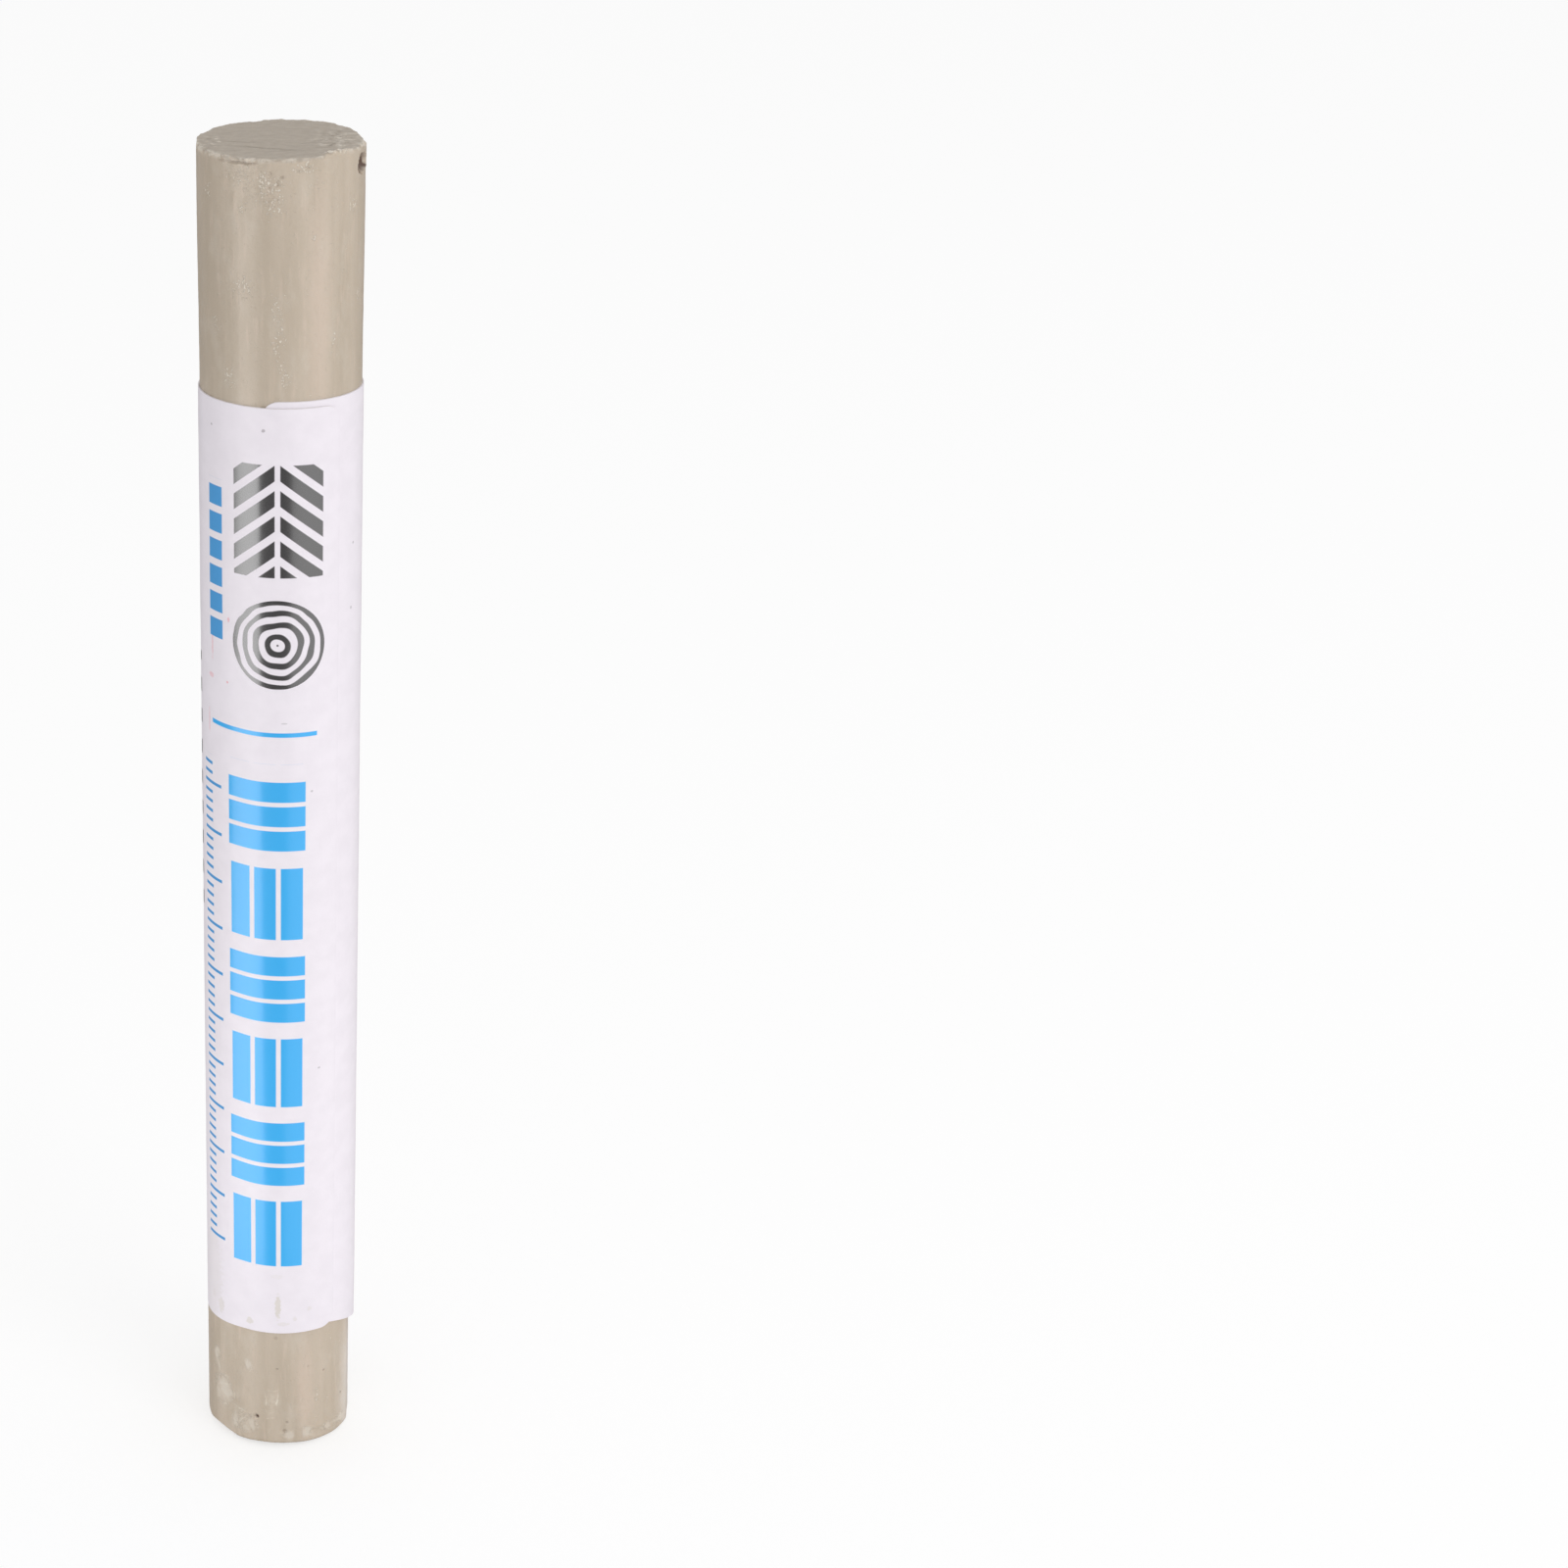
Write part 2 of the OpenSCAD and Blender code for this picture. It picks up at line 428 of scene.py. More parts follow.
def dents_at(place):
    """The dents and lumps for a place on the bare barrel, and none on an end or under the label."""
    under_label = bare_foot_end < place.z < bare_top_start
    return dent_list if off_axis(place) > wax_radius * skin_share and not under_label else ()


def shade_in_hollows(place):
    """How much shade is painted at a place inside the dents. A lump hides what it covers."""
    dark = 0
    for *dent, depth, shade in dents_at(place):
        share = dent_share(place, *dent)
        dark = max(dark, shade * eased(share * shade_spread)) if depth > 0 else dark * (1 - share)
    return dark


# Painted shade inside the dents, kept as a group of points that darkens the wax colour
weigh(wax, "hollow_shade", shade_in_hollows)
for point in wax.data.vertices:
    for *dent, depth, shade in dents_at(point.co):
        point.co -= outward(side_of(point.co)) * depth * dent_share(point.co, *dent)

# Wear: the foot's right side is rubbed flat, the foot as a whole lies a little to the left, and its front
# edge is worn up. The cut end, which the knife squeezed, flares slightly
foot_wear = 0.3 * mm
foot_sway = 0.12 * mm
wear_from, wear_to = 24 * mm, 13 * mm
worn_flat = 6.9 * mm
foot_lift = 0.34 * mm
lift_width, lift_top = 2.2 * mm, 3 * mm
lift_side, lift_half = math.radians(-12), math.radians(66)
cut_flare = 0.1 * mm
flare_from, flare_to = 114 * mm, 130 * mm
for point in wax.data.vertices:
    worn = eased((point.co.z - wear_from) / (wear_to - wear_from))
    flattened = eased((point.co.x - worn_flat) / (wax_radius - worn_flat))
    point.co.x -= worn * (foot_sway + foot_wear * flattened)
    lifted = eased(1 - (wax_radius - off_axis(point.co)) / lift_width)
    lifted *= eased(1 - abs(side_of(point.co) - lift_side) / lift_half)
    lifted *= eased(1 - point.co.z / lift_top)
    point.co.z += foot_lift * lifted
    wider = 1 + cut_flare / wax_radius * eased((point.co.z - flare_from) / (flare_to - flare_from))
    point.co.x *= wider
    point.co.y *= wider

# Casting: faint flutes along the barrel and an uneven skin. Knife: scrape lines across the cut.
# Each has its size, depth and rest level, and the flutes and lines are stretched along one axis
flute_size, flute_depth, flute_rest, flute_stretch = 4.5 * mm, 0.07 * mm, 0.7, (1, 1, 16)
scrape_size, scrape_depth, scrape_rest, scrape_stretch = 0.45 * mm, 0.07 * mm, 0.6, (9, 1, 1)
skin_size, skin_depth, skin_rest = 1.1 * mm, 0.035 * mm, 0.6
flute_space = stretched_space(flute_stretch)
displace(wax, cloud_pattern("flutes", flute_size), flute_depth, flute_rest, space=flute_space)
bpy.data.objects.remove(flute_space)
scrape_space = stretched_space(scrape_stretch)
displace(wax, cloud_pattern("scrapes", scrape_size), scrape_depth, scrape_rest,
         direction="Z", group="cut_face", space=scrape_space)
bpy.data.objects.remove(scrape_space)
displace(wax, cloud_pattern("cast_skin", skin_size), skin_depth, skin_rest)
# Nothing stands out past the ends or past the label's lap
skin_margin = 0.01 * mm
skin_limit = cad_high.x - skin_margin
for point in wax.data.vertices:
    point.co.z = min(max(point.co.z, 0), wax_length)
    inside = min(skin_limit / max(off_axis(point.co), tiny), 1)
    point.co.x *= inside
    point.co.y *= inside
wax_crease = math.radians(50)
bpy.ops.object.select_all(action="DESELECT")
wax.select_set(True)
bpy.context.view_layer.objects.active = wax
bpy.ops.object.shade_smooth_by_angle(angle=wax_crease)


def paint(red, green, blue):
    """Colour as it is seen, 0 to 255, for a shader."""
    seen = Color((red / 255, green / 255, blue / 255))
    return (*seen.from_srgb_to_scene_linear(), 1)


def set_inputs(tree, made, inputs):
    """Set or link the inputs of a shader node."""
    for socket, value in inputs.items():
        if isinstance(value, bpy.types.NodeSocket):
            tree.links.new(value, made.inputs[socket])
        else:
            made.inputs[socket].default_value = value


def node(tree, kind, inputs=None, **settings):
    """Add a shader node with its settings, and its inputs set or linked."""
    made = tree.nodes.new("ShaderNode" + kind)
    for name, value in settings.items():
        setattr(made, name, value)
    set_inputs(tree, made, inputs or {})
    return made


def calc(tree, operation, first, second=0.0, third=0.0):
    """One step of arithmetic."""
    return node(tree, "Math", {0: first, 1: second, 2: third}, operation=operation).outputs[0]


def scaled(tree, value, gain, base):
    """A value times a gain, on top of a base."""
    return calc(tree, "MULTIPLY_ADD", value, gain, base)


def both(tree, first, second):
    """Where two masks overlap, or one mask made weaker."""
    return calc(tree, "MULTIPLY", first, second)


def either(tree, first, second):
    """Where either of two masks lies."""
    return calc(tree, "MAXIMUM", first, second)


def fade(tree, value, start, end):
    """Smooth share from 0 at start to 1 at end."""
    made = node(tree, "MapRange", {0: value, 1: start, 2: end}, interpolation_type="SMOOTHSTEP")
    return made.outputs[0]


def mixed(tree, share, under, over):
    """Colour over another by a share."""
    return node(tree, "Mix", {0: share, 6: under, 7: over}, data_type="RGBA").outputs[2]


def lumps(tree, places, scale, detail=3.0, roughness=0.55, twist=0.0):
    """Noise of a given number of lumps to the millimetre."""
    return node(tree, "TexNoise", {
        "Vector": places, "Scale": scale, "Detail": detail, "Roughness": roughness, "Distortion": twist,
    }).outputs[0]


def piece_places(tree, stretch):
    """Places on a piece in millimetres, squeezed or stretched along each axis."""
    places = node(tree, "TexCoord").outputs["Object"]
    return node(tree, "Mapping", {"Vector": places, "Scale": [share / mm for share in stretch]}).outputs[0]


def stretched_lumps(tree, stretch, *settings):
    """Noise on a piece, stretched along each axis."""
    return lumps(tree, piece_places(tree, stretch), *settings)


def group_share(tree, name):
    """Weight of a group of points."""
    return node(tree, "Attribute", attribute_name=name).outputs["Fac"]


def bumps(tree, relief):
    """Normals of a surface with a relief in millimetres."""
    return node(tree, "Bump", {"Strength": 1.0, "Distance": mm, "Height": relief}).outputs[0]


def new_finish(name):
    """A new material with its tree and its shader."""
    finish = bpy.data.materials.new(name)
    finish.use_nodes = True
    return finish, finish.node_tree, finish.node_tree.nodes["Principled BSDF"]


wax_colour = paint(199, 185, 168)
wax_dark = paint(187, 173, 155)
wax_warm = paint(211, 193, 177)
wax_milky = paint(214, 206, 194)
wax_fleck = paint(228, 219, 205)
wax_right_pale = paint(227, 219, 212)
# Dark brown painted shade for the hollows, pits and specks
painted_shade_colour = paint(84, 56, 41)
wax_pale = paint(204, 191, 175)
cut_pale = paint(184, 174, 161)
cut_dark = paint(172, 161, 148)
cut_line = paint(146, 135, 121)
crumb_colour = paint(220, 211, 198)
# Streaks and scuffs, by side in degrees and height, with half width and half height, in millimetres
# The pale and warm streaks are partly painted sheen, and the dark streaks partly painted shade, in upright
# bands that follow the lamps' reflections
pale_streaks_and_sheen = ((-22, 8, 2.0, 9), (72, 122, 1.2, 9))
# Paler places on the right side of the foot
right_pale_places = ((80, 5, 4.5, 13), (104, 3, 3.0, 8))
warm_streaks_and_sheen = ((27, 121, 1.7, 16), (19, 7, 1.3, 9), (150, 120, 2.0, 12))
dark_streaks_and_shade = (
    (-17, 121, 1.9, 13), (8, 124, 2.0, 15), (-58, 120, 2.6, 18), (51, 121, 1.3, 12),
    (-25, 130, 1.8, 6), (1, 8, 1.4, 9), (53, 8, 1.4, 9), (-66, 9, 0.9, 5),
)
flecked_places = (
    (-6, 130.7, 1.6, 2.2), (-28, 132.9, 1.5, 1.1), (16, 133.7, 2.2, 1.0), (57, 129.8, 0.9, 1.2),
    (24, 127.5, 0.5, 1.0), (-4, 121, 1.0, 2.6), (-28, 123, 2.2, 1.8), (67, 121.5, 0.5, 0.9),
    (-59, 131, 0.9, 1.2), (-38, 114.6, 1.2, 1.8), (2, 115, 0.9, 1.8), (-1, 118, 0.8, 3.0),
    (-27, 130, 0.8, 1.2), (40, 118, 0.6, 1.4), (-50, 119, 0.9, 1.6), (30, 6, 0.8, 2.0),
)
milky_places = (
    (-52, 5.2, 2.7, 3.0), (-32, 2.6, 2.4, 2.0), (22, 1.6, 1.1, 1.0), (56, 1.4, 1.5, 0.9),
    (-61, 9.0, 0.9, 2.0), (6, 1.5, 0.9, 0.9), (-26, 9.8, 0.8, 1.0), (40, 1.4, 1.2, 0.9),
)
# Small open bubbles, by side, height, half width and how much shade is painted inside them
pitted_places = (
    (-19, 3.6, 0.26, 0.9), (-3, 9.65, 0.18, 0.35), (36.5, 8.55, 0.18, 0.35), (57, 4.5, 0.18, 0.4),
    (5, 3.1, 0.2, 0.3), (3, 2.0, 0.3, 0.3), (-4, 13.4, 0.3, 0.2), (22, 9.6, 0.2, 0.15),
)
# Pale strokes rubbed into the skin near the foot: side in degrees, height, turn in degrees, half length,
# half width and strength
rubbed_strokes = (
    (-11.5, 5.2, 92, 1.9, 0.13, 0.6), (-2.7, 5.4, 86, 2.0, 0.18, 0.8), (-6, 7.0, 8, 0.8, 0.13, 0.55),
    (-7, 3.6, 4, 0.9, 0.14, 0.6), (-59, 8.0, -62, 1.3, 0.12, 0.6), (-39.5, 5.5, 90, 1.5, 0.12, 0.5),
    (-6.5, 5.2, 90, 2.3, 1.2, 0.34), (-34, 4.0, -6, 1.6, 0.14, 0.4), (-48, 6.1, 4, 1.4, 0.12, 0.35),
    (-52, 3.6, 18, 0.9, 0.12, 0.4), (-24, 9.4, 70, 0.8, 0.12, 0.3), (24, 8.6, 86, 1.0, 0.1, 0.3),
    (17, 5.2, 95, 1.2, 0.1, 0.3),
)
# Knife scratches and torn places on the cut: middle across and back, turn in degrees, half length,
# half width and strength
scratches = (
    (-1.4, -3.3, -18, 4.6, 0.34, 0.75), (0.5, -4.4, 4, 3.6, 0.24, 0.5), (-3.6, -1.0, -14, 2.6, 0.24, 0.6),
    (-2.0, 1.2, 8, 2.6, 0.2, 0.3), (2.6, -1.6, 22, 2.2, 0.2, 0.4), (1.2, 3.6, -6, 3.6, 0.24, 0.3),
    (4.6, -2.2, 66, 1.8, 0.22, 0.5), (-4.6, 2.6, 30, 1.8, 0.2, 0.35), (5.2, 1.0, -70, 1.6, 0.2, 0.4),
)
torn_places = ((5.0, -0.4, 90, 6.2, 3.0, 1.0), (-6.2, -0.6, 90, 3.6, 1.6, 1.0))

wax_finish, tree, shader = new_finish("filler_wax")
even = piece_places(tree, (1, 1, 1))
rightward, backward, height = node(tree, "SeparateXYZ", {0: even}).outputs
turned = calc(tree, "ARCTAN2", rightward, calc(tree, "MULTIPLY", backward, -1.0))
around = calc(tree, "MULTIPLY", turned, wax_radius / mm)
# Places round the barrel with a slow sway, which leaves the streaks and scuffs ragged
sway_noise, sway_reach = ((1, 1, 0.35), 0.7), 1.8
sway = scaled(tree, stretched_lumps(tree, *sway_noise), sway_reach, -sway_reach / 2)
wavy = calc(tree, "ADD", around, sway)


def round_barrel(degrees):
    """Distance round the barrel from its front, in millimetres."""
    return math.radians(degrees) * wax_radius / mm


def oval(tree, across, up, middle_across, middle_up, half_width, half_height):
    """How far a place lies from the middle of an oval, whose edge is at 1."""
    off_across = scaled(tree, across, 1 / half_width, -middle_across / half_width)
    off_up = scaled(tree, up, 1 / half_height, -middle_up / half_height)
    return calc(tree, "SQRT", scaled(tree, off_across, off_across, both(tree, off_up, off_up)))


def spot(tree, along, side, middle, half_width, half_height, edge=1.0, core=0.2):
    """Soft oval spot on the barrel, which is full inside its core."""
    off = oval(tree, along, height, round_barrel(side), middle, half_width, half_height)
    return fade(tree, off, edge, core)


def spots(tree, along, spot_list):
    """All of a list of spots."""
    share = 0.0
    for place in spot_list:
        share = either(tree, share, spot(tree, along, *place))
    return share


# Streaks along the barrel, partly from casting and partly painted sheen and painted shade, with their
# strengths and colours, and then fine streaks, clouds and grain in the wax: stretch, lumps to the
# millimetre, detail and roughness, the levels between which they come in, and their strengths and colours
broad_noise, broad_levels = ((1, 1, 0.05), 0.4), (0.3, 0.6)
streak_layers = (
    (dark_streaks_and_shade, 0.6, wax_dark),
    (pale_streaks_and_sheen, 0.35, wax_pale),
    (warm_streaks_and_sheen, 0.6, wax_warm),
)
noise_layers = (
    (((1, 1, 0.12), 2.2, 4), (0.52, 0.75), 0.48, wax_warm),
    (((1, 1, 0.5), 0.5, 5, 0.6), (0.5, 0.7), 0.2, wax_milky),
    (((1, 1, 0.6), 2.6, 6, 0.72), (0.5, 0.75), 0.5, wax_dark),
)
colour = mixed(tree, fade(tree, stretched_lumps(tree, *broad_noise), *broad_levels), wax_dark, wax_colour)
for streaks, strength, tint in streak_layers:
    colour = mixed(tree, both(tree, spots(tree, wavy, streaks), strength), colour, tint)
for pattern, levels, strength, tint in noise_layers:
    share = fade(tree, stretched_lumps(tree, *pattern), *levels)
    colour = mixed(tree, both(tree, share, strength), colour, tint)
# Paler places on the right side of the foot, and milky scuffs, with thin pale lines along their ragged
# edges:
# ragged noise counts as milky where it comes over a level, which is lower inside the scuffs
ragged_noise, ragged_gain = ((1, 1, 0.7), 0.75, 7, 0.68, 0.8), 3.2
right_pale_gain, right_pale_least = 0.8, 0.4
scuff_gain, milky_edge = 0.9, -2.02
milky_levels, milky_inside = (0.0, 0.6), (0.0, 0.3)
line_begins, line_ends, line_inside = (-0.12, 0.0), (0.14, 0.04), (0.1, 0.5)
milky_strength, line_strength = 0.56, 0.36
milky_spots = spots(tree, wavy, milky_places)
ragged = stretched_lumps(tree, *ragged_noise)
milky_level = scaled(tree, ragged, ragged_gain, scaled(tree, milky_spots, scuff_gain, milky_edge))
milky = both(tree, fade(tree, milky_level, *milky_levels), fade(tree, milky_spots, *milky_inside))
milky_line = both(tree, fade(tree, milky_level, *line_begins), fade(tree, milky_level, *line_ends))
milky_line = both(tree, milky_line, fade(tree, milky_spots, *line_inside))
right_pale_side = both(tree, spots(tree, wavy, right_pale_places), scaled(tree, ragged, right_pale_gain, right_pale_least))
colour = mixed(tree, right_pale_side, colour, wax_right_pale)
colour = mixed(tree, both(tree, milky, milky_strength), colour, wax_milky)
colour = mixed(tree, both(tree, milky_line, line_strength), colour, wax_fleck)
# Strokes on the skin, which waver and break off
waver, waver_lumps, waver_detail = 0.8, 0.9, 4.0
rubbed_levels = (0.38, 0.55)
depthless = 1e5
wobble = node(tree, "TexNoise", {"Vector": even, "Scale": waver_lumps, "Detail": waver_detail})
unrolled = node(tree, "CombineXYZ", {0: around, 1: height})
unrolled = node(tree, "VectorMath", {
    0: wobble.outputs["Color"], 1: (waver, waver, waver), 2: unrolled.outputs[0],
}, operation="MULTIPLY_ADD").outputs[0]


def stroke(tree, flat, across, up, degrees, half_length, half_width, edge=1.0, core=0.2):
    """Thin soft stroke over flat places, whatever their depth."""
    lined_up = node(tree, "Mapping", {
        "Vector": flat,
        "Location": (across, up, 0),
        "Rotation": (0, 0, math.radians(degrees)),
        "Scale": (half_length, half_width, depthless),
    }, vector_type="TEXTURE").outputs[0]
    off = node(tree, "VectorMath", {0: lined_up}, operation="LENGTH").outputs["Value"]
    return fade(tree, off, edge, core)


def strokes(tree, flat, stroke_list):
    """All of a list of strokes, each at its strength."""
    share = 0.0
    for *place, strength in stroke_list:
        share = either(tree, share, both(tree, stroke(tree, flat, *place), strength))
    return share


wavering_strokes = [
    (round_barrel(side) + waver / 2, middle + waver / 2, *rest) for side, middle, *rest in rubbed_strokes]
rubbed = both(tree, strokes(tree, unrolled, wavering_strokes), fade(tree, ragged, *rubbed_levels))
colour = mixed(tree, rubbed, colour, wax_fleck)
# Loose flecks of wax on the skin, thick in the scuffed places and thin elsewhere, with specks of painted
# shade among them in the scuffs
fleck_noise, fleck_gain, fleck_levels = ((1, 1, 0.8), 5.5, 2, 0.5), 0.15, (0.69, 0.76)
fleck_shade_levels, fleck_shade_inside = (0.38, 0.3), (0.2, 0.7)
fleck_strength, fleck_shade_strength = 0.85, 0.3
fleck_grain = stretched_lumps(tree, *fleck_noise)
scuffs = group_share(tree, "scuffed_front")
fleck_spots = either(tree, spots(tree, wavy, flecked_places), scuffs)
flecks = fade(tree, scaled(tree, fleck_spots, fleck_gain, fleck_grain), *fleck_levels)
# Specks of painted shade in the scuffs
fleck_shade = both(tree, fade(tree, fleck_grain, *fleck_shade_levels), fade(tree, scuffs, *fleck_shade_inside))
colour = mixed(tree, both(tree, flecks, fleck_strength), colour, wax_fleck)
colour = mixed(tree, both(tree, fleck_shade, fleck_shade_strength), colour, painted_shade_colour)
# Small bubbles opened in the skin, with painted shade inside them and inside the dents
pit_core, hollow_shade_strength = 0.3, 0.9
pits = 0.0
for side, middle, size, shade in pitted_places:
    pit = spot(tree, around, side, middle, size, size, core=pit_core)
    pits = either(tree, pits, both(tree, pit, shade))
painted_shade_share = either(tree, pits, both(tree, group_share(tree, "hollow_shade"), hollow_shade_strength))
# The face of the cut, mottled and scraped, with scratches and places where the knife tore the wax
scrape_noise, scrape_gain = ((0.22, 1.9, 0), 1.0, 6, 0.66), 0.6
cut_noise, cut_gain, cut_levels = ((0.8, 1, 0), 1.3, 7, 0.72), 1.2, (0.65, 1.15)
scratch_levels = (0.35, 0.55)
torn_noise, torn_strength = ((0.7, 1, 0), 1.5, 5, 0.62, 0.5), 0.8
torn_pale_levels, torn_dark_levels = (0.52, 0.64), (0.46, 0.34)
cut = group_share(tree, "cut_face")
scrapes = stretched_lumps(tree, *scrape_noise)
cut_grain = stretched_lumps(tree, *cut_noise)
cut_mottle = scaled(tree, cut_grain, cut_gain, both(tree, scrapes, scrape_gain))
cut_colour = mixed(tree, fade(tree, cut_mottle, *cut_levels), cut_dark, cut_pale)
scratched = both(tree, strokes(tree, even, scratches), fade(tree, cut_grain, *scratch_levels))
torn_patch = strokes(tree, even, torn_places)
torn_grain = stretched_lumps(tree, *torn_noise)
torn_pale = both(tree, torn_patch, fade(tree, torn_grain, *torn_pale_levels))
torn_dark = both(tree, torn_patch, fade(tree, torn_grain, *torn_dark_levels))
cut_colour = mixed(tree, both(tree, torn_pale, torn_strength), cut_colour, crumb_colour)
cut_colour = mixed(tree, both(tree, torn_dark, torn_strength), cut_colour, cut_line)
colour = mixed(tree, cut, colour, mixed(tree, scratched, cut_colour, cut_line))
# Pale crumbs round the cut, and last the painted shade in the pits and hollows
crumb_lumps, crumb_levels, crumb_inside, crumb_strength = (1.7, 4, 0.65), (0.42, 0.58), (0.05, 0.4), 0.75
rim = fade(tree, group_share(tree, "crumbled_rim"), *crumb_inside)
crumb_share = both(tree, rim, fade(tree, lumps(tree, even, *crumb_lumps), *crumb_levels))
colour = mixed(tree, both(tree, crumb_share, crumb_strength), colour, crumb_colour)
colour = mixed(tree, painted_shade_share, colour, painted_shade_colour)
# The skin is smooth and the broken wax matt. Relief in millimetres
smooth_roughness, matt_gain = 0.36, 0.3
skin_lumps, skin_relief = (2.2, 5, 0.6), 0.035
reliefs = (
    (flecks, 0.04),
    (milky_line, 0.02),
    (pits, -0.12),
    (both(tree, scrapes, cut), 0.05),
    (both(tree, scratched, cut), -0.05),
    (both(tree, both(tree, torn_patch, torn_grain), cut), 0.12),
)
matt = either(tree, either(tree, flecks, milky), either(tree, cut, crumb_share))
relief = both(tree, lumps(tree, even, *skin_lumps), skin_relief)
for mark, rise in reliefs:
    relief = scaled(tree, mark, rise, relief)
set_inputs(tree, shader, {
    "Base Color": colour,
    "Roughness": scaled(tree, matt, matt_gain, smooth_roughness),
    "Normal": bumps(tree, relief),
    "Subsurface Weight": 0.12,
    "Subsurface Radius": (1.0, 0.8, 0.6),
    "Subsurface Scale": 0.8 * mm,
    "IOR": 1.44,
})
wax.data.materials.append(wax_finish)
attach(wax, "root")
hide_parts("wax_stick")

# Label adhesive
# The film of clear, slightly yellow tack that came on the back of the label. It lies on the wax for one
# turn and then on the paper itself, under the lap, and shows only as a thin line at the label's edges.
tack_dull = paint(232, 227, 224)
tack_bright = paint(240, 236, 236)
tack_noise = ((1, 1, 0.3), 1.5)
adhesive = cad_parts["label_adhesive"]
adhesive_finish, tree, shader = new_finish("label_tack")
set_inputs(tree, shader, {
    "Base Color": mixed(tree, stretched_lumps(tree, *tack_noise), tack_dull, tack_bright),
    "Roughness": 0.3,
})
adhesive.data.materials.clear()
adhesive.data.materials.append(adhesive_finish)

# Printed label
# A die-cut sheet of coated white paper with round corners, wound on by hand a little askew: its outer end
# laps over its start and sits lower. It is printed with a plain pattern in glossy blue and black ink.
paper_thickness = 0.12 * mm
adhesive_thickness = 0.03 * mm
label_lap = 7.5 * mm
label_drop = 0.6 * mm
corner_radius, corner_steps = 1.6 * mm, 10
climb_length = 3 * mm
seam_side = math.radians(44)
turn_length = 2 * math.pi * wax_radius
label_length = turn_length + label_lap
label_turns = label_length / turn_length
label_height = label_high.z - bare_foot - label_drop * label_turns
label_columns, label_rows = 180, 72
# The lower edge was pulled down on the right, where the start comes out from under the lap, and a little on
# the left. Each pull has the angles where it begins, is full, begins to fade and ends, in the order that the
# label is wound, and its depth. The right side lies one turn back
edge_pulls = (
    (in_radians(-340, -248, -240, -150), 3.2 * mm),
    (in_radians(-170, -104, -90, -14), 0.9 * mm),
)
pull_height = 20 * mm

bpy.ops.object.select_all(action="DESELECT")
bpy.ops.mesh.primitive_plane_add(size=1, location=(label_length / 2, label_height / 2, 0))
label = bpy.context.object
label.name = "printed_label"
label.scale = (label_length, label_height, 1)
bpy.ops.object.transform_apply(location=True, rotation=True, scale=True)
bpy.ops.object.mode_set(mode="EDIT")
bpy.ops.mesh.bevel(offset=corner_radius, segments=corner_steps, affect="VERTICES")
slice_across([(label_length * i / label_columns, 0, 0) for i in range(1, label_columns)], (1, 0, 0))
slice_across([(0, label_height * i / label_rows, 0) for i in range(1, label_rows)], (0, 1, 0))
bpy.ops.object.mode_set(mode="OBJECT")
flat_map = label.data.uv_layers.active.data
for corner in label.data.loops:
    flat = label.data.vertices[corner.vertex_index].co
    flat_map[corner.index].uv = (flat.x / label_length, flat.y / label_height)


def wound(flat):
    """Place round the stick of a point of the flat label."""
    climb = eased((flat.x - turn_length + climb_length) / climb_length)
    climb *= paper_thickness + adhesive_thickness
    turned = seam_side + 2 * math.pi * (flat.x - label_length) / turn_length
    place = outward(turned) * (wax_radius + adhesive_thickness + paper_thickness + climb)
    place.z = bare_foot + label_drop * (label_length - flat.x) / turn_length + flat.y
    for angles, depth in edge_pulls:
        place.z -= depth * between(turned, *angles) * eased(1 - flat.y / pull_height)
    return place


for point in label.data.vertices:
    point.co = wound(point.co)
wave_size, wave_detail, wave_depth, wave_rest = 7 * mm, 3, 0.05 * mm, 1.0
label_crease = math.radians(40)
paper_body = label.modifiers.new("paper", "SOLIDIFY")
paper_body.thickness = paper_thickness
paper_body.offset = -1
bpy.ops.object.modifier_apply(modifier=paper_body.name)
displace(label, cloud_pattern("paper_waves", wave_size, wave_detail), wave_depth, wave_rest)
bpy.ops.object.shade_smooth_by_angle(angle=label_crease)

# Print, in millimetres along the label from the front and up from its lower edge
paper_colour = paint(239, 233, 240)
paper_shade = paint(235, 229, 236)
blue_ink = paint(40, 176, 245)
fine_blue_ink = paint(66, 156, 220)
black_ink = paint(40, 36, 38)
smear_colour = paint(196, 189, 160)
pink_colour = paint(232, 96, 110)
speck_colour = paint(110, 102, 104)
ink_soft = 0.05
front_along = label_length - turn_length * seam_side / (2 * math.pi)

label_finish, tree, shader = new_finish("printed_paper")
sheet = node(tree, "UVMap", uv_map=label.data.uv_layers.active.name).outputs[0]
sheet = node(tree, "Mapping", {
    "Vector": sheet,
    "Scale": (label_length / mm, label_height / mm, 1),
    "Location": (-front_along / mm, 0, 0),
}).outputs[0]
across, up = node(tree, "SeparateXYZ", {0: sheet}).outputs[:2]


def within(tree, value, middle, half):
    """Mask of a band about a middle, with the slightly soft edge of ink."""
    off = calc(tree, "ABSOLUTE", calc(tree, "SUBTRACT", value, middle))
    return fade(tree, off, half + ink_soft, half - ink_soft)


def panel(tree, middle, size):
    """Mask of an upright rectangle on the label."""
    return both(tree, within(tree, across, middle[0], size[0] / 2), within(tree, up, middle[1], size[1] / 2))


def repeated(tree, value, start, pitch):
    """Place within one repeat of a row, from 0 to the pitch."""
    return calc(tree, "FLOORED_MODULO", calc(tree, "SUBTRACT", value, start), pitch)


def stripes(tree, value, start, pitch, middle, half):
    """Mask of a row of stripes, by where the row starts and the place and half width in each repeat."""
    return within(tree, repeated(tree, value, start, pitch), middle, half)


